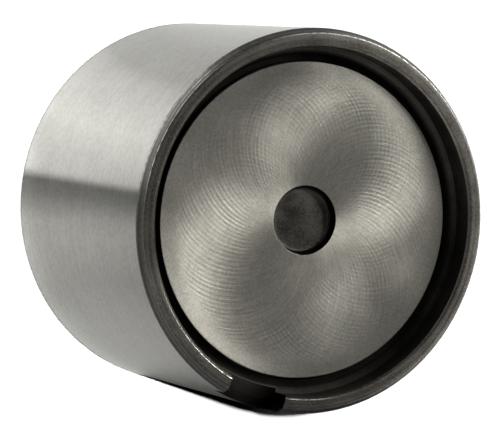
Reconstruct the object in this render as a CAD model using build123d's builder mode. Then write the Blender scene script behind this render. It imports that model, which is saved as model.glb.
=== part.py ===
from build123d import *
import os

# Valve lifter of the bucket kind, for an overhead camshaft. It is one forged, hardened and
# ground piece. An adjusting shim lies in the recess of its closed head, the camshaft pushes
# on that shim, and the pad inside the head pushes on the valve's tip.
# Z is the bucket's axis, with zero at the open end of the skirt and the head on top.
# The slot that frees the shim points to -Y. Sizes are in millimetres.

# Barrel, ground to run in the cylinder head
barrel_diameter = 31.0
overall_height = 25.0
head_chamfer_radial = 0.38
head_chamfer_axial = 0.66
mouth_edge_radius = 0.4

# Recess that holds the adjusting shim, inside a thin rim
rim_wall = 1.45
recess_depth = 2.05
recess_edge_break = 0.2

# Turned relief between the ground seat and the wall of the recess
relief_width = 1.3
relief_depth = 0.5
relief_step_run = 0.1
relief_flank_run = 0.7
relief_corner_radius = 0.15

# Round mark left by the forging punch in the middle of the seat
dimple_diameter = 5.6
dimple_depth = 0.8
dimple_wall_taper = 12.0
dimple_floor_radius = 0.25

# Slot through the rim, where a pick lifts the shim out
slot_width = 5.1
slot_floor_drop = 0.25

# Hollow skirt, which clears the valve spring's retainer
skirt_wall = 2.0
skirt_mouth_chamfer = 0.5
crown_thickness = 3.0
crown_corner_radius = 2.5

# Pad under the crown, ground flat for the valve's tip
pad_diameter = 10.0
pad_projection = 2.5
pad_root_radius = 1.5
pad_edge_chamfer = 0.4

# Cutting sections run past the ends of the metal by this much
overshoot = 1.0

# Radii and levels that follow from the sizes above
barrel_radius = barrel_diameter / 2
recess_radius = barrel_radius - rim_wall
seat_radius = recess_radius - relief_width
relief_step_radius = seat_radius + relief_step_run
relief_flank_radius = recess_radius - relief_flank_run
skirt_radius = barrel_radius - skirt_wall
pad_radius = pad_diameter / 2
seat_z = overall_height - recess_depth
relief_z = seat_z - relief_depth
slot_floor_z = seat_z - slot_floor_drop
crown_z = seat_z - crown_thickness
pad_z = crown_z - pad_projection
pad_side = pad_projection - pad_edge_chamfer

with BuildPart() as lifter_body:
    # Solid barrel, with a steep chamfer round its head and a rounded lower edge
    with BuildSketch(Plane.XZ) as blank_section:
        with BuildLine():
            Polyline(
                (0, 0),
                (barrel_radius, 0),
                (barrel_radius, overall_height - head_chamfer_axial),
                (barrel_radius - head_chamfer_radial, overall_height),
                (0, overall_height),
                close=True,
            )
        make_face()
        mouth_corner = blank_section.vertices().group_by(Axis.Y)[0].sort_by(Axis.X)[-1]
        fillet(mouth_corner, radius=mouth_edge_radius)
    revolve(axis=Axis.Z)

    # Forged hollow of the skirt, which leaves the pad standing under the crown
    with BuildSketch(Plane.XZ) as hollow_section:
        with BuildLine():
            Polyline(
                (0, -overshoot),
                (skirt_radius + skirt_mouth_chamfer, -overshoot),
                (skirt_radius + skirt_mouth_chamfer, 0),
                (skirt_radius, skirt_mouth_chamfer),
                (skirt_radius, crown_z),
                (pad_radius, crown_z),
                (pad_radius, pad_z),
                (0, pad_z),
                close=True,
            )
        make_face()
        crown_corners = hollow_section.vertices().group_by(Axis.Y)[-1].sort_by(Axis.X)
        fillet(crown_corners[0], radius=min(pad_root_radius, 0.9 * pad_side))
        crown_corners = hollow_section.vertices().group_by(Axis.Y)[-1].sort_by(Axis.X)
        fillet(crown_corners[-1], radius=crown_corner_radius)
        pad_corner = hollow_section.vertices().group_by(Axis.X)[1].sort_by(Axis.Y)[0]
        chamfer(pad_corner, length=pad_edge_chamfer)
    revolve(axis=Axis.Z, mode=Mode.SUBTRACT)

    # Shim recess: ground seat, relief groove, wall and broken upper edge
    with BuildSketch(Plane.XZ) as recess_section:
        with BuildLine():
            Polyline(
                (0, seat_z),
                (seat_radius, seat_z),
                (relief_step_radius, relief_z),
                (relief_flank_radius, relief_z),
                (recess_radius, seat_z),
                (recess_radius, overall_height - recess_edge_break),
                (recess_radius + recess_edge_break, overall_height),
                (recess_radius + recess_edge_break, overall_height + overshoot),
                (0, overall_height + overshoot),
                close=True,
            )
        make_face()
        fillet(recess_section.vertices().group_by(Axis.Y)[0], radius=relief_corner_radius)
    revolve(axis=Axis.Z, mode=Mode.SUBTRACT)

    # Punch mark, with a drafted wall and a flat floor
    with BuildSketch(Plane.XY.offset(seat_z)):
        Circle(dimple_diameter / 2)
    extrude(amount=-dimple_depth, taper=dimple_wall_taper, mode=Mode.SUBTRACT)
    dimple_floor_edge = (
        lifter_body.edges()
        .filter_by(GeomType.CIRCLE)
        .filter_by_position(Axis.Z, seat_z - dimple_depth, seat_z - dimple_depth)
    )
    fillet(dimple_floor_edge, radius=dimple_floor_radius)

    # Slot milled through the rim, from the relief groove to the outside
    with BuildSketch(Plane.XY.offset(slot_floor_z)):
        with Locations((0, -relief_flank_radius)):
            slot_length = barrel_radius - relief_flank_radius + overshoot
            Rectangle(slot_width, slot_length, align=(Align.CENTER, Align.MAX))
    extrude(amount=overall_height - slot_floor_z + overshoot, mode=Mode.SUBTRACT)

lifter_body.part.label = "lifter_body"

os.makedirs("parts", exist_ok=True)
export_step(lifter_body.part, "parts/lifter_body.step")
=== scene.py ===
import math

import bpy
from mathutils import Matrix, Vector


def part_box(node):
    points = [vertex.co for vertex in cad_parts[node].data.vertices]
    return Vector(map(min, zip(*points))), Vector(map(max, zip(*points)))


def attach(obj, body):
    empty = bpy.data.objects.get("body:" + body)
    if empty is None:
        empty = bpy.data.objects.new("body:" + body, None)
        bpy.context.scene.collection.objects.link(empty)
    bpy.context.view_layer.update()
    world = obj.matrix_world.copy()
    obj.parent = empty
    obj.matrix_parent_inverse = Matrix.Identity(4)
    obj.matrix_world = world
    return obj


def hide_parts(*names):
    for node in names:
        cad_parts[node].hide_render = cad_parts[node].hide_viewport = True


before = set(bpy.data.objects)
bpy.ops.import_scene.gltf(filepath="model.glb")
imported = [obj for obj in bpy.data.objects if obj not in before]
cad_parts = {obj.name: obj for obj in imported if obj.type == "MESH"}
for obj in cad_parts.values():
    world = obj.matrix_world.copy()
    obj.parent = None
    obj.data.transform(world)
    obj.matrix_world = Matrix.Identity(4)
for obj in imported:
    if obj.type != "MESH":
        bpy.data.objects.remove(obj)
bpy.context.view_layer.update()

# Valve lifter of the bucket kind. It stands on its open end at zero, Z is its axis, and the
# slot in its rim points to -Y. Azimuths are in degrees from +X towards +Y.
# Sizes are in metres. The barrel's and the height come from the frame.
MM = 0.001
high_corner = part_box("lifter_body")[1]
BARREL_RADIUS = high_corner.x
HEIGHT = high_corner.z

RIM_WALL = 1.45 * MM
RECESS_DEPTH = 2.05 * MM
RECESS_EDGE_BREAK = 0.2 * MM
HEAD_CHAMFER_RADIAL = 0.38 * MM
HEAD_CHAMFER_AXIAL = 0.66 * MM
MOUTH_EDGE_RADIUS = 0.4 * MM

RELIEF_WIDTH = 1.3 * MM
RELIEF_DEPTH = 0.5 * MM
RELIEF_STEP_RUN = 0.1 * MM
RELIEF_FLANK_RUN = 0.7 * MM
RELIEF_CORNER_RADIUS = 0.15 * MM

DIMPLE_RADIUS = 2.8 * MM
DIMPLE_DEPTH = 0.8 * MM
DIMPLE_WALL_RUN = DIMPLE_DEPTH * math.tan(math.radians(12.0))
DIMPLE_FLOOR_RADIUS = 0.25 * MM

SLOT_WIDTH = 5.1 * MM
SLOT_FLOOR_DROP = 0.25 * MM

SKIRT_WALL = 2.0 * MM
SKIRT_MOUTH_CHAMFER = 0.5 * MM
CROWN_THICKNESS = 3.0 * MM
CROWN_CORNER_RADIUS = 2.5 * MM
PAD_RADIUS = 5.0 * MM
PAD_PROJECTION = 2.5 * MM
PAD_ROOT_RADIUS = 1.5 * MM
PAD_EDGE_CHAMFER = 0.4 * MM

RECESS_RADIUS = BARREL_RADIUS - RIM_WALL
SEAT_RADIUS = RECESS_RADIUS - RELIEF_WIDTH
SKIRT_RADIUS = BARREL_RADIUS - SKIRT_WALL
CHAMFER_TOP_RADIUS = BARREL_RADIUS - HEAD_CHAMFER_RADIAL
SEAT_Z = HEIGHT - RECESS_DEPTH
RELIEF_Z = SEAT_Z - RELIEF_DEPTH
SLOT_FLOOR_Z = SEAT_Z - SLOT_FLOOR_DROP
CROWN_Z = SEAT_Z - CROWN_THICKNESS
PAD_Z = CROWN_Z - PAD_PROJECTION

# Edges as wear and tumbling leave them
SHARP_EDGE = 0.03 * MM
LAPPED_EDGE = 0.06 * MM
RIM_OUTER_EDGE = 0.07 * MM
RIM_INNER_EDGE = 0.28 * MM

# Two small dents: on the rim's inner edge and on the seat's edge
RIM_NICK = {"azimuth": 186.25, "radius": RECESS_RADIUS + 0.16 * MM, "height": HEIGHT, "size": 0.17 * MM}
SEAT_DING = {"azimuth": 32.25, "radius": SEAT_RADIUS, "height": SEAT_Z, "size": 0.13 * MM}

# The small cup wheel that ground the seat. STEEPEST_LEAN is the sine of the most that its arcs
# lean from the radius. The marks are counted round one turn, and each set of arcs shows a
# share of the other set's marks.
CUP_WHEEL_DIAMETER = 12.45 * MM
STEEPEST_LEAN = 0.965
FEED_MARKS = 109.0
GRIT_MARKS = 251.0
SEAT_MARK_DEPTH = 0.0050 * MM
OTHER_SET_SHARE = 0.2

# Patches of painted light and shade on the seat, placed by how light the seat is in the photo:
# azimuth and radius of the middle, reach, and how much lighter the steel is painted there
SEAT_PAINTED_LIGHT_PATCHES = (
    (289, 12.5 * MM, 6.5 * MM, -0.55),
    (48, 7.8 * MM, 4.3 * MM, -0.38),
    (15, 4.5 * MM, 3.5 * MM, -0.12),
    (338, 4.5 * MM, 3.8 * MM, -0.22),
    (353, 10.5 * MM, 3.2 * MM, 0.50),
    (155, 5.0 * MM, 4.5 * MM, -0.24),
    (120, 10.5 * MM, 4.5 * MM, -0.26),
    (97, 9.6 * MM, 2.6 * MM, 0.20),
    (316, 9.5 * MM, 2.6 * MM, -0.28),
    (180, 12.5 * MM, 4.0 * MM, 0.25),
    (232, 11.3 * MM, 4.5 * MM, 0.24),
    (136, 10.5 * MM, 3.5 * MM, -0.16),
    (208, 13.0 * MM, 4.8 * MM, 0.58),
    (283, 3.8 * MM, 3.6 * MM, 0.45),
)

# Steps of a whole turn and of a rounded corner. A rounding past LARGE_ROUNDING gets
# CORNER_STEPS, and an edge that turns by more than SHARP_ANGLE degrees is shaded sharp.
TURN_STEPS = 480
EDGE_STEPS = 4
CORNER_STEPS = 12
LARGE_ROUNDING = 0.3 * MM
SUPPORT_REACH = 0.03 * MM
SHARP_ANGLE = 40

# Points closer than this are one, and a zone of the finish reaches this far past an edge
TINY = 0.001 * MM
ZONE_EDGE = 0.02 * MM

# Features per metre of the noise that several finishes share
CLOUD_SCALE = 420.0
SCUFF_SCALE = 2600.0

# The ground seat's steel, from its darkest specks to its lightest
SEAT_DARK = (0.46, 0.44, 0.378)
SEAT_LIGHT = (0.70, 0.669, 0.583)

# Table, cards and room round the object
WHITE_PAPER = (0.93, 0.93, 0.93, 1.0)
FLOOR_HALF = 1.5
TABLE_HEIGHT = 0.15 * MM
TABLE_RADIUS = 120 * MM
LEFT_CARD_RADIUS = 70 * MM
ROOM_RADIUS = 0.6
ROOM_HEIGHT = 0.2

# The table's glow as the steel sees it, all round the object: azimuth and level. They were
# worked out from how light the barrel and the chamfer are in the photo.
TABLE_LEVELS = (
    (8, 0.48), (20, 0.58), (43, 0.75), (58, 0.72), (70, 0.80), (80, 0.96), (98, 0.82), (110, 0.73),
    (124, 0.62), (138, 0.64), (146, 0.86), (167, 1.20), (180, 0.96), (188, 0.86), (191, 0.20),
    (196, 0.26), (205, 0.53), (213, 0.57), (230, 0.45), (245, 0.50), (284, 0.50), (300, 0.25),
    (311, 0.01), (322, 0.01), (332, 0.04), (341, 0.09), (350, 0.22), (358, 0.32),
)
BRIGHTEST_LEVEL = 1.3


class Shop:
    """Adds nodes to a tree from left to right and joins them."""

    def __init__(self, tree):
        self.tree = tree

    def add(self, kind, **settings):
        node = self.tree.nodes.new(kind)
        for name, value in settings.items():
            setattr(node, name, value)
        return node

    def feed(self, socket, value):
        if isinstance(value, bpy.types.NodeSocket):
            self.tree.links.new(value, socket)
        else:
            socket.default_value = value

    def math(self, operation, *values):
        node = self.add("ShaderNodeMath", operation=operation)
        for socket, value in zip(node.inputs, values):
            self.feed(socket, value)
        return node.outputs[0]

    def plus(self, *values):
        total = values[0]
        for value in values[1:]:
            total = self.math("ADD", total, value)
        return total

    def minus(self, value, taken):
        return self.math("SUBTRACT", value, taken)

    def times(self, *values):
        product = values[0]
        for value in values[1:]:
            product = self.math("MULTIPLY", product, value)
        return product

    def length(self, vector):
        node = self.add("ShaderNodeVectorMath", operation="LENGTH")
        self.feed(node.inputs[0], vector)
        return node.outputs["Value"]

    def split(self, vector):
        node = self.add("ShaderNodeSeparateXYZ")
        self.feed(node.inputs[0], vector)
        return node.outputs

    def join(self, x=0.0, y=0.0, z=0.0):
        node = self.add("ShaderNodeCombineXYZ")
        for socket, value in zip(node.inputs, (x, y, z)):
            self.feed(socket, value)
        return node.outputs[0]

    def remap(self, value, low, high, to_low=0.0, to_high=1.0):
        """Runs smoothly from to_low to to_high while the value runs from low to high."""
        node = self.add("ShaderNodeMapRange", interpolation_type="SMOOTHSTEP")
        for socket, given in zip(node.inputs, (value, low, high, to_low, to_high)):
            self.feed(socket, given)
        return node.outputs[0]

    def highest(self, *values):
        top = values[0]
        for value in values[1:]:
            top = self.math("MAXIMUM", top, value)
        return top

    def above(self, value, limit):
        return self.math("GREATER_THAN", value, limit)

    def below(self, value, limit):
        return self.math("LESS_THAN", value, limit)

    def between(self, value, low, high):
        return self.times(self.above(value, low), self.below(value, high))

    def noise(self, vector, scale, detail=2.0, roughness=0.5):
        node = self.add("ShaderNodeTexNoise")
        self.feed(node.inputs["Vector"], vector)
        node.inputs["Scale"].default_value = scale
        node.inputs["Detail"].default_value = detail
        node.inputs["Roughness"].default_value = roughness
        return node.outputs["Fac"]

    def blend(self, factor, first, second, kind="FLOAT"):
        """All of the first at factor 0 and all of the second at 1."""
        node = self.add("ShaderNodeMix", data_type=kind)
        for name, value in (("Factor", factor), ("A", first), ("B", second)):
            self.feed(node.inputs[name], value)
        return node.outputs["Result"]

    def tone(self, factor, dark, light):
        """A colour between two tones of the same metal."""
        return self.blend(factor, (*dark, 1.0), (*light, 1.0), "RGBA")

    def dim(self, color, factor):
        """The colour times a factor, which may be above 1."""
        node = self.add("ShaderNodeVectorMath", operation="SCALE")
        self.feed(node.inputs[0], color)
        self.feed(node.inputs["Scale"], factor)
        return node.outputs["Vector"]


# Section of the bucket

def rounded_section(corners):
    """Points down a section whose corners are (radius, height, rounding). Each rounded corner
    gets an arc, and a point just outside each end of it that keeps the flats flat."""
    points = [Vector((corners[0][0], corners[0][1]))]
    for i in range(1, len(corners) - 1):
        corner = Vector(corners[i][:2])
        rounding = corners[i][2]
        back = (Vector(corners[i - 1][:2]) - corner).normalized()
        ahead = (Vector(corners[i + 1][:2]) - corner).normalized()
        half_angle = back.angle(ahead) / 2
        reach = rounding / math.tan(half_angle)
        centre = corner + (back + ahead).normalized() * rounding / math.sin(half_angle)
        start = corner + back * reach
        end = corner + ahead * reach
        support = min(0.5 * rounding, SUPPORT_REACH)
        steps = CORNER_STEPS if rounding > LARGE_ROUNDING else EDGE_STEPS
        arm_start = start - centre
        turn = arm_start.angle_signed(end - centre)
        points.append(start + back * support)
        for step in range(steps + 1):
            arm = arm_start.copy()
            arm.rotate(Matrix.Rotation(-turn * step / steps, 2))
            points.append(centre + arm)
        points.append(end + ahead * support)
    points.append(Vector((corners[-1][0], corners[-1][1])))
    return points


def bucket_section():
    """The whole outline, from the middle of the dimple's floor round the outside to the pad."""
    dimple_z = SEAT_Z - DIMPLE_DEPTH
    corners = [
        (0.0, dimple_z, 0.0),
        (DIMPLE_RADIUS - DIMPLE_WALL_RUN, dimple_z, DIMPLE_FLOOR_RADIUS),
        (DIMPLE_RADIUS, SEAT_Z, SHARP_EDGE),
        (SEAT_RADIUS, SEAT_Z, LAPPED_EDGE),
        (SEAT_RADIUS + RELIEF_STEP_RUN, RELIEF_Z, RELIEF_CORNER_RADIUS),
        (RECESS_RADIUS - RELIEF_FLANK_RUN, RELIEF_Z, RELIEF_CORNER_RADIUS),
        (RECESS_RADIUS, SEAT_Z, SHARP_EDGE),
        (RECESS_RADIUS, HEIGHT - RECESS_EDGE_BREAK, RIM_INNER_EDGE),
        (RECESS_RADIUS + RECESS_EDGE_BREAK, HEIGHT, RIM_INNER_EDGE),
        (CHAMFER_TOP_RADIUS, HEIGHT, RIM_OUTER_EDGE),
        (BARREL_RADIUS, HEIGHT - HEAD_CHAMFER_AXIAL, LAPPED_EDGE),
        (BARREL_RADIUS, 0.0, MOUTH_EDGE_RADIUS),
        (SKIRT_RADIUS + SKIRT_MOUTH_CHAMFER, 0.0, SHARP_EDGE),
        (SKIRT_RADIUS, SKIRT_MOUTH_CHAMFER, SHARP_EDGE),
        (SKIRT_RADIUS, CROWN_Z, CROWN_CORNER_RADIUS),
        (PAD_RADIUS, CROWN_Z, PAD_ROOT_RADIUS),
        (PAD_RADIUS, PAD_Z + PAD_EDGE_CHAMFER, SHARP_EDGE),
        (PAD_RADIUS - PAD_EDGE_CHAMFER, PAD_Z, SHARP_EDGE),
        (0.0, PAD_Z, 0.0),
    ]
    return rounded_section(corners)


# Materials

def steel_color(level):
    """Clean steel, a little warm."""
    return (level, 0.985 * level, 0.90 * level)


def scale_color(level):
    """Heat-treat scale, browner than the steel under it."""
    return (level, 0.93 * level, 0.82 * level)


class Finish:
    """A steel surface. Plain values are set on the shader, and its pattern follows the place on
    the piece, given as the angle, radius and height round the axis."""

    def __init__(self, name, roughness, anisotropic=0.0):
        self.material = bpy.data.materials.new(name)
        self.material.use_nodes = True
        self.shop = Shop(self.material.node_tree)
        self.shader = self.material.node_tree.nodes["Principled BSDF"]
        self.shader.inputs["Metallic"].default_value = 1.0
        self.shader.inputs["Roughness"].default_value = roughness
        self.shader.inputs["Anisotropic"].default_value = anisotropic
        shop = self.shop
        self.place = shop.add("ShaderNodeTexCoord").outputs["Object"]
        x, y, self.z = shop.split(self.place)
        self.angle = shop.math("ARCTAN2", y, x)
        self.radius = shop.length(shop.join(x, y, 0.0))

    def towards(self, azimuth):
        """Cosine of the angle round the axis from this azimuth, in degrees."""
        return self.shop.math("COSINE", self.shop.minus(self.angle, math.radians(azimuth)))

    def turned_lines(self, spacing, wander=0.8, detail=2.0):
        """Lines that a tool leaves round the axis, this far apart on average. They run on for
        a good part of a turn and then change. Radius and height count unequally, so that
        flats, walls and chamfers all get lines."""
        shop = self.shop
        height_share = 1.37
        noise_per_line = 0.5
        reach = shop.plus(self.radius, shop.times(self.z, height_share))
        across = shop.times(reach, noise_per_line / spacing)
        east = shop.times(shop.math("COSINE", self.angle), wander)
        north = shop.times(shop.math("SINE", self.angle), wander)
        return shop.noise(shop.join(east, north, across), scale=1.0, detail=detail)

    def scuff(self):
        """Fine uneven noise, for wear that comes and goes."""
        return self.shop.noise(self.place, scale=SCUFF_SCALE, detail=3.0, roughness=0.6)

    def paint(self, color):
        self.shop.feed(self.shader.inputs["Base Color"], color)

    def vary_roughness(self, factor, smooth, rough):
        """Smooth where the noise is low and rough where it is high."""
        self.shop.feed(self.shader.inputs["Roughness"], self.shop.remap(factor, 0.3, 0.7, smooth, rough))

    def bump(self, height, distance):
        node = self.shop.add("ShaderNodeBump")
        self.shop.feed(node.inputs["Height"], height)
        node.inputs["Distance"].default_value = distance
        return node.outputs["Normal"]

    def emboss(self, height, distance):
        self.shop.feed(self.shader.inputs["Normal"], self.bump(height, distance))

    def tint(self, factor):
        """Multiplies the colour so far: below 1 is dirtier and above 1 is cleaner."""
        covered = self.shader.inputs["Base Color"].links[0].from_socket
        self.paint(self.shop.dim(covered, factor))

    def wear(self, lightened, level, smooth):
        """Bare steel of this level, rubbed smooth, wherever lightened is 1."""
        color = self.shader.inputs["Base Color"]
        roughness = self.shader.inputs["Roughness"]
        covered = color.links[0].from_socket
        self.paint(self.shop.blend(lightened, covered, (*steel_color(level), 1.0), "RGBA"))
        self.shop.feed(roughness, self.shop.blend(lightened, roughness.links[0].from_socket, smooth))

    def stretch_along(self, x, y, z):
        """The gloss stretches this way, which is across the fine grooves."""
        self.shop.feed(self.shader.inputs["Tangent"], self.shop.join(x, y, z))


def ground_barrel():
    """Centreless-ground outside: very fine lines round the barrel and a soft mottle."""
    finish = Finish("ground_barrel", roughness=0.2, anisotropic=0.85)
    shop = finish.shop
    finish.stretch_along(0.0, 0.0, 1.0)
    lines = finish.turned_lines(spacing=0.10 * MM, wander=1.2, detail=3.0)
    mottle = shop.noise(finish.place, scale=CLOUD_SCALE, detail=5.0, roughness=0.65)
    mixed = shop.plus(shop.times(lines, 0.25), shop.times(mottle, 0.4), shop.times(finish.scuff(), 0.35))
    finish.paint(shop.tone(shop.remap(mixed, 0.4, 0.6), steel_color(0.53), steel_color(0.655)))
    finish.vary_roughness(mottle, smooth=0.18, rough=0.23)
    finish.emboss(shop.plus(shop.times(lines, 0.5), mottle), distance=0.0004 * MM)
    return finish.material


def around(shop, phase):
    """A point on a circle, for noise that closes on itself."""
    return shop.join(shop.math("COSINE", phase), shop.math("SINE", phase))


def feed_marks(shop, phase):
    """Even marks from the wheel's feed, with its grit's finer marks between them. They drift a
    little and are deeper in some places. From about -1 to 1."""
    ring = around(shop, phase)
    drift = shop.times(shop.noise(ring, scale=5.0, detail=2.0), 3.0)
    depth = shop.remap(shop.noise(ring, scale=11.0, detail=1.0), 0.35, 0.65, 0.5, 1.0)
    feed = shop.math("SINE", shop.plus(shop.times(phase, FEED_MARKS), drift))
    grit = shop.math("SINE", shop.plus(shop.times(phase, GRIT_MARKS), shop.times(drift, 3.0)))
    return shop.times(shop.plus(feed, shop.times(grit, 0.45)), depth)


def seat_arcs(finish):
    """The two sets of arcs. Each arc of the first set keeps to one value of ahead, and each arc
    of the second to one value of behind. The third result is 0 for a grain of steel that the
    first set cut, and 1 for one that the second set cut."""
    shop = finish.shop
    first_set_side = 305.0
    back_side = 120.0
    across_wheel = shop.math("DIVIDE", finish.radius, CUP_WHEEL_DIAMETER)
    lean = shop.math("ARCSINE", shop.math("MINIMUM", across_wheel, STEEPEST_LEAN))
    ahead = shop.plus(finish.angle, lean)
    behind = shop.minus(finish.angle, lean)

    # The first set's share changes from patch to patch. It is larger towards azimuth 305, and
    # a little larger at the back.
    grain = shop.add("ShaderNodeTexWhiteNoise", noise_dimensions="3D")
    shop.feed(grain.inputs["Vector"], finish.place)
    cloud = shop.noise(finish.place, scale=CLOUD_SCALE, detail=2.0)
    patches = shop.remap(cloud, 0.3, 0.7, 0.52, 0.60)
    first_side = shop.remap(finish.towards(first_set_side), 0.0, 1.0, 0.0, 0.17)
    back = shop.remap(finish.towards(back_side), 0.3, 1.0, 0.0, 0.08)
    second_set = shop.above(grain.outputs["Value"], shop.plus(patches, first_side, back))

    # The first set's grooves point along behind, and the second set's along ahead
    groove = shop.plus(behind, shop.times(second_set, lean, 2.0))
    across_x = shop.times(shop.math("SINE", groove), -1.0)
    finish.stretch_along(across_x, shop.math("COSINE", groove), 0.0)
    return ahead, behind, second_set


def seat_marks(finish, arcs, inside_edge):
    """Embosses each set's marks, with a trace of the other set's. They die out towards the
    middle and at the edge, and are deeper in some patches. Each set is fainter on one side.
    Returns the marks that show at each grain."""
    shop = finish.shop
    ahead, behind, second_set = arcs
    first_faint_side = 318.0
    second_faint_side = 215.0
    outwards = shop.remap(finish.radius, 0.22 * SEAT_RADIUS, 0.5 * SEAT_RADIUS, 0.15, 1.0)
    depth = shop.remap(shop.noise(finish.place, scale=300.0, detail=2.0), 0.35, 0.65, 0.45, 1.2)
    strength = shop.times(outwards, inside_edge, depth)
    first_share = shop.remap(finish.towards(first_faint_side), 0.4, 1.0, 1.0, 0.5)
    second_share = shop.remap(finish.towards(second_faint_side), 0.3, 0.9, 0.85, 0.3)
    first = shop.times(feed_marks(shop, ahead), strength, first_share)
    second = shop.times(feed_marks(shop, behind), strength, second_share)
    first_relief = finish.bump(shop.plus(first, shop.times(second, OTHER_SET_SHARE)), SEAT_MARK_DEPTH)
    second_relief = finish.bump(shop.plus(second, shop.times(first, OTHER_SET_SHARE)), SEAT_MARK_DEPTH)
    normal = shop.blend(second_set, first_relief, second_relief, "VECTOR")
    shop.feed(finish.shader.inputs["Normal"], normal)
    return shop.blend(second_set, first, second)


def seat_color(finish, arcs, marks, inside_edge):
    """Some passes of the wheel cut brighter than others, and its grains leave short scratches
    along them. Specks and clouds lie over both."""
    shop = finish.shop
    ahead, behind, second_set = arcs
    ring = around(shop, shop.blend(second_set, ahead, behind))
    ring_x, ring_y, _ = shop.split(ring)
    passes = shop.noise(ring, scale=16.0, detail=3.0, roughness=0.65)
    outwards = shop.times(finish.radius, 16.0)
    scratches = shop.noise(shop.join(ring_x, ring_y, outwards), scale=60.0, detail=2.0)
    streaks = shop.plus(passes, shop.times(scratches, 1.9), -1.45)
    cloud = shop.noise(finish.place, scale=240.0, detail=3.0)
    grit = shop.noise(finish.place, scale=6000.0, detail=2.0)
    speckle = shop.plus(shop.times(grit, 1.3), shop.times(cloud, 0.8))
    shade = shop.plus(-0.55, shop.times(marks, 0.12), shop.times(streaks, inside_edge), speckle)
    return shop.tone(shop.remap(shade, 0.0, 1.0), SEAT_DARK, SEAT_LIGHT)


def seat_painted_light_level(finish):
    """Painted light and shade on the seat, which set how light it is from place to place: darker
    round the dimple and in its outer part towards azimuth 80, and changed by each of the patches."""
    shop = finish.shop
    dark_side = 80.0
    level = shop.remap(finish.radius, 0.25 * SEAT_RADIUS, 0.6 * SEAT_RADIUS, 0.88, 1.0)
    outer_part = shop.remap(finish.radius, 0.6 * SEAT_RADIUS, SEAT_RADIUS)
    at_dark_side = shop.remap(finish.towards(dark_side), 0.5, 1.0)
    level = shop.plus(level, shop.times(at_dark_side, outer_part, -0.48))
    for azimuth, radius, patch_reach, change in SEAT_PAINTED_LIGHT_PATCHES:
        centre = direction(azimuth, 0.0) * radius
        centre.z = SEAT_Z
        away = shop.add("ShaderNodeVectorMath", operation="DISTANCE")
        shop.feed(away.inputs[0], finish.place)
        shop.feed(away.inputs[1], centre)
        level = shop.plus(level, shop.remap(away.outputs["Value"], 0.0, patch_reach, change, 0.0))
    return level


def ground_seat():
    """Two crossing sets of arcs that run through the middle, as a small cup wheel leaves them
    on a turning piece. Light catches each set only where its grooves lie across the light."""
    finish = Finish("ground_seat", roughness=0.37, anisotropic=0.86)
    shop = finish.shop
    inside_edge = shop.remap(finish.radius, 0.84 * SEAT_RADIUS, 0.93 * SEAT_RADIUS, 1.0, 0.0)
    arcs = seat_arcs(finish)
    marks = seat_marks(finish, arcs, inside_edge)
    color = seat_color(finish, arcs, marks, inside_edge)
    # The seat's colour times its painted light and shade
    finish.paint(shop.dim(color, seat_painted_light_level(finish)))
    return finish.material


def scaled_steel(name, darkest, lightest, grit=0.010 * MM, turned=0.3, roughness=0.48):
    """Heat-treat scale where no wheel has been: specks, clouds and faint turning lines. Grit is
    how high it stands, and turned is the share of the lines."""
    finish = Finish(name, roughness)
    shop = finish.shop
    speck = shop.noise(finish.place, scale=5200.0, detail=4.0, roughness=0.7)
    cloud = shop.noise(finish.place, scale=CLOUD_SCALE, detail=3.0)
    lines = finish.turned_lines(spacing=0.12 * MM)
    tone = shop.plus(shop.times(speck, 0.4), shop.times(cloud, 0.6 - turned), shop.times(lines, turned))
    finish.paint(shop.tone(shop.remap(tone, 0.38, 0.64), scale_color(darkest), scale_color(lightest)))
    finish.vary_roughness(speck, smooth=roughness - 0.06, rough=roughness + 0.08)
    finish.emboss(shop.plus(speck, shop.times(lines, 2.3 * turned)), grit)
    return finish


def recess_scale_and_painted_shading():
    """Scale on the wall of the recess, painted dark partly as shade. Painted light makes it lighter
    at the back, and painted shade makes it darker on one side and in the groove under it."""
    finish = scaled_steel("recess_scale_and_painted_shading", 0.030, 0.085, roughness=0.60)
    shop = finish.shop
    recess_painted_light_side = 118.0
    recess_painted_shade_side = 346.0
    # Painted light towards azimuth 118 and painted shade towards azimuth 346
    recess_painted_light = shop.remap(finish.towards(recess_painted_light_side), 0.5, 1.0, 1.0, 2.2)
    recess_painted_shade = shop.remap(finish.towards(recess_painted_shade_side), 0.75, 0.92, 1.0, 0.4)
    wall = shop.times(recess_painted_light, recess_painted_shade)
    # Painted shade in the groove and up the lower flank
    groove_painted_shade = 0.2
    finish.tint(shop.remap(finish.z, RELIEF_Z + 0.05 * MM, RELIEF_Z + 0.3 * MM, groove_painted_shade, wall))
    return finish.material


def scaled_dimple():
    """Coarser scale in the dimple, lighter near the edge of its floor, with painted shade on the
    corner and up the wall."""
    finish = scaled_steel("scaled_dimple", 0.034, 0.112, grit=0.018 * MM, turned=0.0)
    shop = finish.shop
    corner = DIMPLE_RADIUS - DIMPLE_WALL_RUN
    floor_z = SEAT_Z - DIMPLE_DEPTH
    lightened = shop.remap(finish.radius, 0.8 * corner, 0.88 * corner, 1.0, 1.4)
    # Painted shade on the floor's rounded corner and up the wall
    dimple_corner_painted_shade = shop.remap(finish.z, floor_z + 0.003 * MM, floor_z + 0.03 * MM, 1.0, 0.3)
    wall = shop.remap(finish.z, floor_z + 0.08 * MM, floor_z + 0.2 * MM, 1.0, 0.2)
    finish.tint(shop.times(lightened, dimple_corner_painted_shade, wall))
    return finish.material


def slot_scale_and_painted_shade():
    """Scale in the slot, painted near black as shade, with more painted shade in its half towards +X."""
    # Painted shade: near black all over, and darker still away from azimuth 258
    finish = scaled_steel("slot_scale_and_painted_shade", 0.005, 0.014)
    slot_unshaded_side = 258.0
    finish.tint(finish.shop.remap(finish.towards(slot_unshaded_side), 0.93, 0.985, 0.1, 1.0))
    return finish.material


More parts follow.
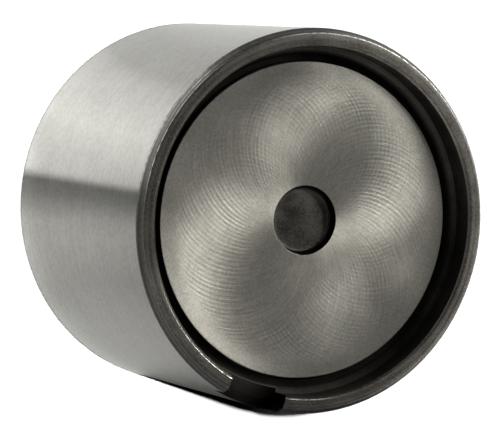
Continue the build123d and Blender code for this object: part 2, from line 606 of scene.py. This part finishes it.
def rim_outer_side(finish):
    """1 on the side towards azimuth 35, where the rim's outer edge is rubbed bright, and nearly
    0 on the other side."""
    bright_side = 35.0
    return finish.shop.remap(finish.towards(bright_side), -0.15, 0.45, 0.05, 1.0)


def tint_rim(finish):
    """Lighter scale on the +X side and towards azimuth 236. The inner edge is rubbed clean at
    the back and is a little darker in front, and the outer half is polished on the +X side."""
    shop = finish.shop
    light_side = 30.0
    left_side = 236.0
    rubbed_side = 120.0
    lighter = shop.remap(finish.towards(light_side), -0.6, 1.0, 0.75, 1.5)
    left = shop.remap(finish.towards(left_side), 0.85, 1.0, 0.0, 0.9)
    rubbed = shop.remap(finish.towards(rubbed_side), 0.0, 0.8, 0.75, 2.3)
    inner_start = RECESS_RADIUS + 0.2 * MM
    inner_edge = shop.remap(finish.radius, inner_start, RECESS_RADIUS + 0.35 * MM, rubbed, 1.0)
    outer_start = CHAMFER_TOP_RADIUS - 0.45 * MM
    outer_half = shop.remap(finish.radius, outer_start, CHAMFER_TOP_RADIUS - 0.1 * MM)
    polished = shop.plus(1.0, shop.times(rim_outer_side(finish), outer_half))
    finish.tint(shop.times(shop.plus(lighter, left), inner_edge, polished))


def slid_over(finish):
    """The thin line on the rim's inner edge where shims were slid over it: towards azimuth 252
    and on a short stretch past the slot."""
    shop = finish.shop
    slid_azimuth = 252.0
    past_slot_azimuth = 288.0
    line_in = shop.remap(finish.radius, RECESS_RADIUS + 0.21 * MM, RECESS_RADIUS + 0.23 * MM)
    line_out = shop.remap(finish.radius, RECESS_RADIUS + 0.285 * MM, RECESS_RADIUS + 0.265 * MM)
    past_slot = shop.remap(finish.towards(past_slot_azimuth), 0.985, 0.995, 0.0, 0.6)
    slid_side = shop.highest(shop.remap(finish.towards(slid_azimuth), 0.78, 0.97), past_slot)
    return shop.times(line_in, line_out, slid_side)


def scaled_rim():
    """Scale on the rim's flat. Bare steel shines along its outer edge on the +X side, and along
    its inner edge where shims were slid over it."""
    finish = scaled_steel("scaled_rim", 0.050, 0.165, turned=0.4)
    shop = finish.shop
    tint_rim(finish)
    scuff = finish.scuff()
    edge_start = CHAMFER_TOP_RADIUS - 0.15 * MM
    outer_edge = shop.remap(finish.radius, edge_start, CHAMFER_TOP_RADIUS - 0.05 * MM)
    outer = shop.times(outer_edge, rim_outer_side(finish), shop.remap(scuff, 0.36, 0.52, 0.3, 1.0))
    finish.wear(outer, level=0.62, smooth=0.27)
    inner = shop.times(slid_over(finish), shop.remap(scuff, 0.38, 0.5, 0.0, 0.8))
    finish.wear(inner, level=0.46, smooth=0.18)
    return finish.material


def turned_chamfer():
    """The steep chamfer round the head, as the lathe left it: a few ridges, rubbed bright at the
    back on their crests and at both edges. The wear has a darker gap near azimuth 120."""
    finish = Finish("turned_chamfer", roughness=0.33, anisotropic=0.6)
    shop = finish.shop
    finish.stretch_along(0.0, 0.0, 1.0)
    back_azimuth = 122.0
    gap_azimuth = 120.0
    back = finish.towards(back_azimuth)
    gap = finish.towards(gap_azimuth)
    low = HEIGHT - HEAD_CHAMFER_AXIAL
    ridges = finish.turned_lines(spacing=0.085 * MM, wander=0.9, detail=2.0)
    speck = shop.noise(finish.place, scale=4200.0, detail=3.0, roughness=0.7)
    tone = shop.plus(shop.times(ridges, 0.75), shop.times(speck, 0.25))
    finish.paint(shop.tone(shop.remap(tone, 0.36, 0.64), steel_color(0.14), steel_color(0.32)))
    finish.tint(shop.remap(back, 0.92, 0.98, 1.0, 0.62))
    finish.vary_roughness(speck, smooth=0.30, rough=0.36)

    upper_edge = shop.remap(finish.z, HEIGHT - 0.12 * MM, HEIGHT - 0.04 * MM)
    lower_edge = shop.remap(finish.z, low + 0.10 * MM, low + 0.02 * MM)
    crest = shop.times(shop.remap(ridges, 0.52, 0.62), 0.8)
    lightened = shop.highest(upper_edge, lower_edge, crest)
    worn_side = shop.times(shop.remap(back, 0.25, 0.5, 0.12, 1.0), shop.remap(gap, 0.92, 0.975, 1.0, 0.2))
    scuffed = shop.remap(finish.scuff(), 0.40, 0.54, 0.15, 1.0)
    finish.wear(shop.times(lightened, worn_side, scuffed), level=0.58, smooth=0.24)
    finish.emboss(ridges, distance=0.012 * MM)
    return finish.material


def forged_skirt():
    """Inside of the skirt: turned after forging and hardened, duller than the outside."""
    finish = Finish("forged_skirt", roughness=0.36, anisotropic=0.4)
    shop = finish.shop
    finish.stretch_along(0.0, 0.0, 1.0)
    lines = finish.turned_lines(spacing=0.16 * MM, wander=1.0, detail=3.0)
    cloud = shop.noise(finish.place, scale=300.0, detail=4.0, roughness=0.6)
    tone = shop.plus(shop.times(lines, 0.5), shop.times(cloud, 0.5))
    finish.paint(shop.tone(shop.remap(tone, 0.38, 0.62), scale_color(0.34), scale_color(0.52)))
    finish.vary_roughness(cloud, smooth=0.32, rough=0.42)
    finish.emboss(lines, distance=0.010 * MM)
    return finish.material


def ground_pad():
    """The pad for the valve's tip, ground with straight fine lines."""
    finish = Finish("ground_pad", roughness=0.26, anisotropic=0.7)
    shop = finish.shop
    finish.stretch_along(0.0, 1.0, 0.0)
    _, y, _ = shop.split(finish.place)
    lines_per_metre = 9000.0
    lines = shop.noise(shop.join(0.0, shop.times(y, lines_per_metre), 0.0), scale=1.0, detail=3.0)
    finish.paint(shop.tone(shop.remap(lines, 0.35, 0.65), steel_color(0.50), steel_color(0.60)))
    finish.emboss(lines, distance=0.0015 * MM)
    return finish.material


# Turned bucket, by a rule: the section is swept round the axis

def slot_and_dents(shop, given):
    """Cutters for the slot through the rim, towards -Y, and for the two small dents."""
    block_side = 4 * MM
    block = shop.add("GeometryNodeMeshCube")
    shop.feed(block.inputs["Size"], shop.join(given["Slot Width"], block_side, block_side))
    moved = shop.add("GeometryNodeTransform")
    shop.feed(moved.inputs["Geometry"], block.outputs["Mesh"])
    forward = shop.minus(shop.times(given["Slot Start"], -1.0), block_side / 2)
    upward = shop.plus(given["Slot Floor"], block_side / 2)
    shop.feed(moved.inputs["Translation"], shop.join(0.0, forward, upward))
    cutters = shop.add("GeometryNodeJoinGeometry")
    shop.feed(cutters.inputs[0], moved.outputs[0])
    for dent in (RIM_NICK, SEAT_DING):
        ball = shop.add("GeometryNodeMeshIcoSphere")
        ball.inputs["Radius"].default_value = dent["size"]
        ball.inputs["Subdivisions"].default_value = 3
        lifted = 0.4 * dent["size"]
        spot = direction(dent["azimuth"], 0.0) * dent["radius"]
        spot.z = dent["height"] + lifted
        placed = shop.add("GeometryNodeTransform")
        shop.feed(placed.inputs["Geometry"], ball.outputs["Mesh"])
        placed.inputs["Translation"].default_value = spot
        shop.feed(cutters.inputs[0], placed.outputs[0])
    return cutters.outputs[0]


def finish_zones(shop):
    """Where each finish lies, by radius and height. A later zone takes over from an earlier."""
    x, y, z = shop.split(shop.add("GeometryNodeInputPosition").outputs[0])
    radius = shop.length(shop.join(x, y, 0.0))
    chamfer_z = HEIGHT - HEAD_CHAMFER_AXIAL
    mouth_z = 0.1 * MM
    skin = 0.3 * MM
    outside = shop.above(radius, BARREL_RADIUS - skin)
    in_head = shop.above(z, RELIEF_Z - DIMPLE_DEPTH)
    under_pad = shop.times(shop.below(z, PAD_Z + ZONE_EDGE), shop.below(radius, PAD_RADIUS))
    round_seat = shop.between(radius, SEAT_RADIUS + ZONE_EDGE, RECESS_RADIUS + ZONE_EDGE)
    on_rim = shop.between(radius, RECESS_RADIUS + ZONE_EDGE / 4, CHAMFER_TOP_RADIUS + ZONE_EDGE)
    past_rim = shop.above(radius, CHAMFER_TOP_RADIUS + ZONE_EDGE / 2)
    in_slot = shop.times(
        shop.below(shop.math("ABSOLUTE", x), SLOT_WIDTH / 2 + TINY),
        shop.below(y, -SEAT_RADIUS - ZONE_EDGE),
        shop.above(z, SLOT_FLOOR_Z - TINY),
        shop.below(z, HEIGHT - TINY),
    )
    return (
        (1.0, "forged_skirt"),
        (under_pad, "ground_pad"),
        (shop.times(outside, shop.between(z, mouth_z, chamfer_z + ZONE_EDGE)), "ground_barrel"),
        (shop.times(in_head, round_seat), "recess_scale_and_painted_shading"),
        (shop.times(in_head, shop.below(radius, SEAT_RADIUS + ZONE_EDGE)), "ground_seat"),
        (shop.times(in_head, shop.below(radius, DIMPLE_RADIUS + ZONE_EDGE / 2)), "scaled_dimple"),
        (shop.times(shop.above(z, HEIGHT - RECESS_EDGE_BREAK), on_rim), "scaled_rim"),
        (shop.times(past_rim, shop.above(z, chamfer_z)), "turned_chamfer"),
        (in_slot, "slot_scale_and_painted_shade"),
    )


def turned_bucket_tree(materials):
    """Sweeps the section given as the object's own points, cuts the slot, and gives each
    zone its finish. Returns the tree and its inputs by name."""
    tree = bpy.data.node_groups.new("turned_bucket", "GeometryNodeTree")
    shop = Shop(tree)
    face = tree.interface
    face.new_socket(name="Section", in_out="INPUT", socket_type="NodeSocketGeometry")
    inputs = {}
    kinds = {"Turn Steps": "Int", "Slot Width": "Float", "Slot Start": "Float", "Slot Floor": "Float"}
    for name, kind in kinds.items():
        socket = face.new_socket(name=name, in_out="INPUT", socket_type="NodeSocket" + kind)
        inputs[name] = socket.identifier
    face.new_socket(name="Bucket", in_out="OUTPUT", socket_type="NodeSocketGeometry")
    given = shop.add("NodeGroupInput").outputs
    result = shop.add("NodeGroupOutput").inputs[0]

    # Sheet of points: one column for each step round, one row for each point of the section
    size = shop.add("GeometryNodeAttributeDomainSize")
    shop.feed(size.inputs["Geometry"], given["Section"])
    rows = size.outputs["Point Count"]
    sheet = shop.add("GeometryNodeMeshGrid")
    shop.feed(sheet.inputs["Vertices X"], shop.plus(given["Turn Steps"], 1.0))
    shop.feed(sheet.inputs["Vertices Y"], rows)
    index = shop.add("GeometryNodeInputIndex").outputs[0]
    column = shop.math("FLOOR", shop.math("DIVIDE", shop.plus(index, 0.5), rows))
    row = shop.minus(index, shop.times(column, rows))
    sample = shop.add("GeometryNodeSampleIndex", data_type="FLOAT_VECTOR")
    shop.feed(sample.inputs["Geometry"], given["Section"])
    shop.feed(sample.inputs["Value"], shop.add("GeometryNodeInputPosition").outputs[0])
    shop.feed(sample.inputs["Index"], shop.math("ROUND", row))
    out, _, up = shop.split(sample.outputs["Value"])
    turn = shop.times(shop.math("DIVIDE", column, given["Turn Steps"]), math.tau)
    east = shop.times(out, shop.math("COSINE", turn))
    north = shop.times(out, shop.math("SINE", turn))
    place = shop.add("GeometryNodeSetPosition")
    shop.feed(place.inputs["Geometry"], sheet.outputs["Mesh"])
    shop.feed(place.inputs["Position"], shop.join(east, north, up))
    closed = shop.add("GeometryNodeMergeByDistance")
    shop.feed(closed.inputs["Geometry"], place.outputs[0])
    shop.feed(closed.inputs["Distance"], TINY)

    cut = shop.add("GeometryNodeMeshBoolean", operation="DIFFERENCE", solver="EXACT")
    shop.feed(cut.inputs["Mesh 1"], closed.outputs[0])
    shop.feed(cut.inputs["Mesh 2"], slot_and_dents(shop, given))
    finished = shop.add("GeometryNodeRealizeInstances")
    shop.feed(finished.inputs[0], cut.outputs["Mesh"])

    chain = finished.outputs[0]
    for where, finish in finish_zones(shop):
        painted = shop.add("GeometryNodeSetMaterial")
        shop.feed(painted.inputs["Geometry"], chain)
        if isinstance(where, bpy.types.NodeSocket):
            shop.feed(painted.inputs["Selection"], where)
        painted.inputs["Material"].default_value = materials[finish]
        chain = painted.outputs[0]
    shop.feed(result, chain)
    return tree, inputs


def turned_bucket(materials):
    """The finished bucket as one plain mesh at the origin."""
    section = bpy.data.meshes.new("section")
    points = [(point.x, 0.0, point.y) for point in bucket_section()]
    section.from_pydata(points, [], [])
    blank = bpy.data.objects.new("blank", section)
    bpy.context.scene.collection.objects.link(blank)
    tree, inputs = turned_bucket_tree(materials)
    lathe = blank.modifiers.new("lathe", "NODES")
    lathe.node_group = tree
    lathe[inputs["Turn Steps"]] = TURN_STEPS
    lathe[inputs["Slot Width"]] = SLOT_WIDTH
    lathe[inputs["Slot Start"]] = RECESS_RADIUS - RELIEF_FLANK_RUN
    lathe[inputs["Slot Floor"]] = SLOT_FLOOR_Z
    graph = bpy.context.evaluated_depsgraph_get()
    mesh = bpy.data.meshes.new_from_object(blank.evaluated_get(graph), depsgraph=graph)
    blank.modifiers.remove(lathe)
    bpy.data.objects.remove(blank)
    mesh.name = "lifter"
    mesh.shade_smooth()
    mesh.set_sharp_from_angle(angle=math.radians(SHARP_ANGLE))
    piece = bpy.data.objects.new("lifter", mesh)
    bpy.context.scene.collection.objects.link(piece)
    return piece


# Studio

def direction(azimuth, elevation):
    """Unit vector to a place given by its angle from +X and its height, in degrees."""
    a = math.radians(azimuth)
    e = math.radians(elevation)
    return Vector((math.cos(a) * math.cos(e), math.sin(a) * math.cos(e), math.sin(e)))


def stage_material(name):
    """An empty material for the studio, with its shop and its output socket."""
    material = bpy.data.materials.new(name)
    material.use_nodes = True
    material.node_tree.nodes.clear()
    shop = Shop(material.node_tree)
    return material, shop, shop.add("ShaderNodeOutputMaterial").inputs["Surface"]


def off_the_paper(shop):
    """1 along a path that has met only steel so far, and 0 along one that has left the paper.
    So the steel shows this light but throws none of it into the bucket's shadow."""
    depth = shop.add("ShaderNodeLightPath").outputs["Diffuse Depth"]
    return shop.below(depth, 0.5)


def floor_material():
    """White paper, matte. From below it can be looked through."""
    material, shop, surface = stage_material("white_paper")
    matte = shop.add("ShaderNodeBsdfDiffuse")
    matte.inputs["Color"].default_value = WHITE_PAPER
    clear = shop.add("ShaderNodeBsdfTransparent")
    either = shop.add("ShaderNodeMixShader")
    shop.feed(either.inputs[0], shop.add("ShaderNodeNewGeometry").outputs["Backfacing"])
    shop.feed(either.inputs[1], matte.outputs[0])
    shop.feed(either.inputs[2], clear.outputs[0])
    shop.feed(surface, either.outputs[0])
    return material


def lay_floor():
    """The table's white paper. The steel sees the table card in its place."""
    half = FLOOR_HALF
    corners = [(-half, -half, 0), (half, -half, 0), (half, half, 0), (-half, half, 0)]
    mesh = bpy.data.meshes.new("floor")
    mesh.from_pydata(corners, [], [(0, 1, 2, 3)])
    mesh.materials.append(floor_material())
    floor = bpy.data.objects.new("floor", mesh)
    bpy.context.scene.collection.objects.link(floor)
    floor.visible_glossy = False


def ring_of_levels(shop, turn):
    """The table's levels as a colour ramp round one turn, with the brightest level as white."""
    ramp = shop.add("ShaderNodeValToRGB")
    shop.feed(ramp.inputs[0], turn)
    elements = ramp.color_ramp.elements
    while len(elements) < len(TABLE_LEVELS):
        elements.new(0.5)
    for element, (degrees, glow) in zip(elements, TABLE_LEVELS):
        level = glow / BRIGHTEST_LEVEL
        element.position = degrees / 360
        element.color = (level, level, level, 1.0)
    return ramp.outputs[0]


def bucket_shadow(shop, x, y, turn):
    """1 on open table and nearly 0 in the bucket's shadow, which fans out from its foot in front
    and darkens towards +X. It stays 1 outside azimuths 256 to 318."""
    foot_x = 1.5 * MM
    darkest_angle = math.radians(5)
    lightest_angle = math.radians(125)
    first_turn = 256 / 360
    full_from = 262 / 360
    full_to = 305 / 360
    last_turn = 318 / 360
    past_foot = shop.highest(shop.minus(shop.times(y, -1.0), BARREL_RADIUS), TINY)
    fan_angle = shop.math("ARCTAN2", past_foot, shop.minus(x, foot_x))
    shadow = shop.remap(fan_angle, darkest_angle, lightest_angle, 0.02, 1.0)
    before = shop.remap(turn, full_from, first_turn)
    after = shop.remap(turn, full_to, last_turn)
    return shop.highest(shadow, before, after)


def table_glow():
    """What the steel sees of the table: white paper at the back and left, a dark gap where the
    camera stands, grey at the front, and black on the +X side. It is brighter at the bucket's
    foot and fades outwards."""
    material, shop, surface = stage_material("table_glow")
    front_side = 233.0
    x, y, _ = shop.split(shop.add("ShaderNodeTexCoord").outputs["Object"])
    radius = shop.length(shop.join(x, y, 0.0))
    angle = shop.math("ARCTAN2", y, x)
    turn = shop.math("WRAP", shop.math("DIVIDE", angle, math.tau), 1.0, 0.0)
    front = shop.math("COSINE", shop.minus(angle, math.radians(front_side)))
    foot = shop.remap(front, 0.5, 0.7, 1.08, 1.42)
    near = shop.remap(radius, BARREL_RADIUS, BARREL_RADIUS + 2 * MM, foot, 1.0)
    far_level = shop.remap(front, 0.5, 0.8, 0.85, 0.74)
    far = shop.remap(radius, BARREL_RADIUS + 7 * MM, BARREL_RADIUS + 12 * MM, 1.0, far_level)
    farther = shop.remap(radius, 2.8 * BARREL_RADIUS, 4.7 * BARREL_RADIUS, 1.0, 0.06)
    open_table = bucket_shadow(shop, x, y, turn)
    light = shop.add("ShaderNodeEmission")
    shop.feed(light.inputs["Color"], ring_of_levels(shop, turn))
    strength = shop.times(near, far, farther, open_table, BRIGHTEST_LEVEL, off_the_paper(shop))
    shop.feed(light.inputs["Strength"], strength)
    shop.feed(surface, light.outputs[0])
    return material


def plain_glow(name, level):
    """An even glow for a card."""
    material, shop, surface = stage_material(name)
    light = shop.add("ShaderNodeEmission")
    shop.feed(light.inputs["Strength"], shop.times(off_the_paper(shop), level))
    shop.feed(surface, light.outputs[0])
    return material


def stand_card(name, glow, inner, outer, start=0.0, end=360.0):
    """A curved card round the object that only the steel sees. Its section runs straight from
    inner to outer, each a radius and a height."""
    degrees_per_step = 4
    steps = max(2, round((end - start) / degrees_per_step))
    verts = []
    for radius, z in (inner, outer):
        for step in range(steps + 1):
            point = direction(start + (end - start) * step / steps, 0.0) * radius
            verts.append((point.x, point.y, z))
    row = steps + 1
    faces = [(i, i + 1, row + i + 1, row + i) for i in range(steps)]
    mesh = bpy.data.meshes.new(name)
    mesh.from_pydata(verts, [], faces)
    mesh.materials.append(glow)
    card = bpy.data.objects.new(name, mesh)
    bpy.context.scene.collection.objects.link(card)
    card.visible_camera = False
    card.visible_diffuse = False
    card.visible_shadow = False
    card.visible_transmission = False


def hang_lamp(name, azimuth, elevation, distance, size, power):
    """A soft square lamp that faces the middle of the head. Only the steel takes its light."""
    data = bpy.data.lights.new(name, "AREA")
    data.shape = "SQUARE"
    data.size = size
    data.energy = power
    data.use_nodes = True
    shop = Shop(data.node_tree)
    shop.feed(data.node_tree.nodes["Emission"].inputs["Strength"], off_the_paper(shop))
    lamp = bpy.data.objects.new(name, data)
    aim = Vector((0, 0, SEAT_Z))
    towards = direction(azimuth, elevation)
    lamp.location = aim + towards * distance
    lamp.rotation_euler = towards.to_track_quat("Z", "Y").to_euler()
    lamp.visible_diffuse = False
    bpy.context.scene.collection.objects.link(lamp)


def light_table(azimuth, elevation, strength):
    """Light from the left that makes the paper white and throws the bucket's short shadow on
    it. The steel doesn't show this light."""
    width_in_degrees = 0.8
    data = bpy.data.lights.new("table_light", "SUN")
    data.angle = math.radians(width_in_degrees)
    data.energy = strength
    light = bpy.data.objects.new("table_light", data)
    light.rotation_euler = direction(azimuth, elevation).to_track_quat("Z", "Y").to_euler()
    light.visible_glossy = False
    bpy.context.scene.collection.objects.link(light)


def set_world(steel_level, paper_level):
    """White for the camera and an even soft light for the steel. The paper gets its soft light
    from the back, so that only the shadow at the bucket's front edge is quite dark."""
    back_azimuth = 108.0
    back_elevation = 28.0
    glow_edge = 0.82
    world = bpy.data.worlds.new("studio")
    world.use_nodes = True
    bpy.context.scene.world = world
    world.node_tree.nodes.clear()
    shop = Shop(world.node_tree)
    path = shop.add("ShaderNodeLightPath").outputs
    facing_back = shop.add("ShaderNodeVectorMath", operation="DOT_PRODUCT")
    shop.feed(facing_back.inputs[0], shop.add("ShaderNodeTexCoord").outputs["Generated"])
    shop.feed(facing_back.inputs[1], direction(back_azimuth, back_elevation))
    back_glow = shop.remap(facing_back.outputs["Value"], glow_edge, 1.0, 0.0, paper_level)
    others = shop.minus(shop.minus(1.0, path["Is Camera Ray"]), path["Is Glossy Ray"])
    paper_sees = shop.times(others, back_glow)
    steel_sees = shop.times(path["Is Glossy Ray"], off_the_paper(shop), steel_level)
    background = shop.add("ShaderNodeBackground")
    strength = shop.plus(path["Is Camera Ray"], paper_sees, steel_sees)
    shop.feed(background.inputs["Strength"], strength)
    output = shop.add("ShaderNodeOutputWorld")
    shop.feed(output.inputs["Surface"], background.outputs[0])


def stand_camera():
    """Long lens, high over the head and a little to the left, rolled as in the photo."""
    data = bpy.data.cameras.new("camera")
    data.sensor_width = 36.0
    data.lens = 225.84
    data.clip_start = 0.01
    data.clip_end = 10.0
    camera = bpy.data.objects.new("camera", data)
    place = Vector((-113.79, -22.93, 247.13)) * MM
    back = direction(191.14, 63.62)
    up_hint = Vector((-0.32889, 0.94180, -0.06985))
    right = up_hint.cross(back).normalized()
    up = back.cross(right)
    turn = Matrix((right, up, back)).transposed()
    camera.matrix_world = Matrix.Translation(place) @ turn.to_4x4()
    bpy.context.scene.collection.objects.link(camera)
    bpy.context.scene.camera = camera


finishes = {
    "ground_barrel": ground_barrel(),
    "ground_seat": ground_seat(),
    "turned_chamfer": turned_chamfer(),
    "scaled_rim": scaled_rim(),
    "recess_scale_and_painted_shading": recess_scale_and_painted_shading(),
    "scaled_dimple": scaled_dimple(),
    "slot_scale_and_painted_shade": slot_scale_and_painted_shade(),
    "forged_skirt": forged_skirt(),
    "ground_pad": ground_pad(),
}
lifter = turned_bucket(finishes)
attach(lifter, "root")
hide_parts("lifter_body")

lay_floor()
bucket_foot = (BARREL_RADIUS + 0.1 * MM, TABLE_HEIGHT)
table_edge = (TABLE_RADIUS, TABLE_HEIGHT)
far_edge = (ROOM_RADIUS, TABLE_HEIGHT)
left_low = (LEFT_CARD_RADIUS, 5 * MM)
left_high = (LEFT_CARD_RADIUS, 60 * MM)
room_foot = (ROOM_RADIUS, 0.0)
room_top = (ROOM_RADIUS, ROOM_HEIGHT)
stand_card("table_card", table_glow(), bucket_foot, table_edge)
stand_card("far_card", plain_glow("far_glow", level=0.15), table_edge, far_edge)
stand_card("left_card", plain_glow("left_glow", level=0.9), left_low, left_high, start=134.0, end=187.0)
stand_card("round_card", plain_glow("round_glow", level=0.5), room_foot, room_top)
hang_lamp("key_lamp", azimuth=45.0, elevation=41.0, distance=0.36, size=0.11, power=0.5)
hang_lamp("fill_lamp", azimuth=250.0, elevation=40.0, distance=0.5, size=0.3, power=0.3)
light_table(azimuth=180.2, elevation=65.5, strength=3.95)
set_world(steel_level=0.2, paper_level=2.6)
stand_camera()

bpy.context.scene.view_settings.view_transform = "Standard"
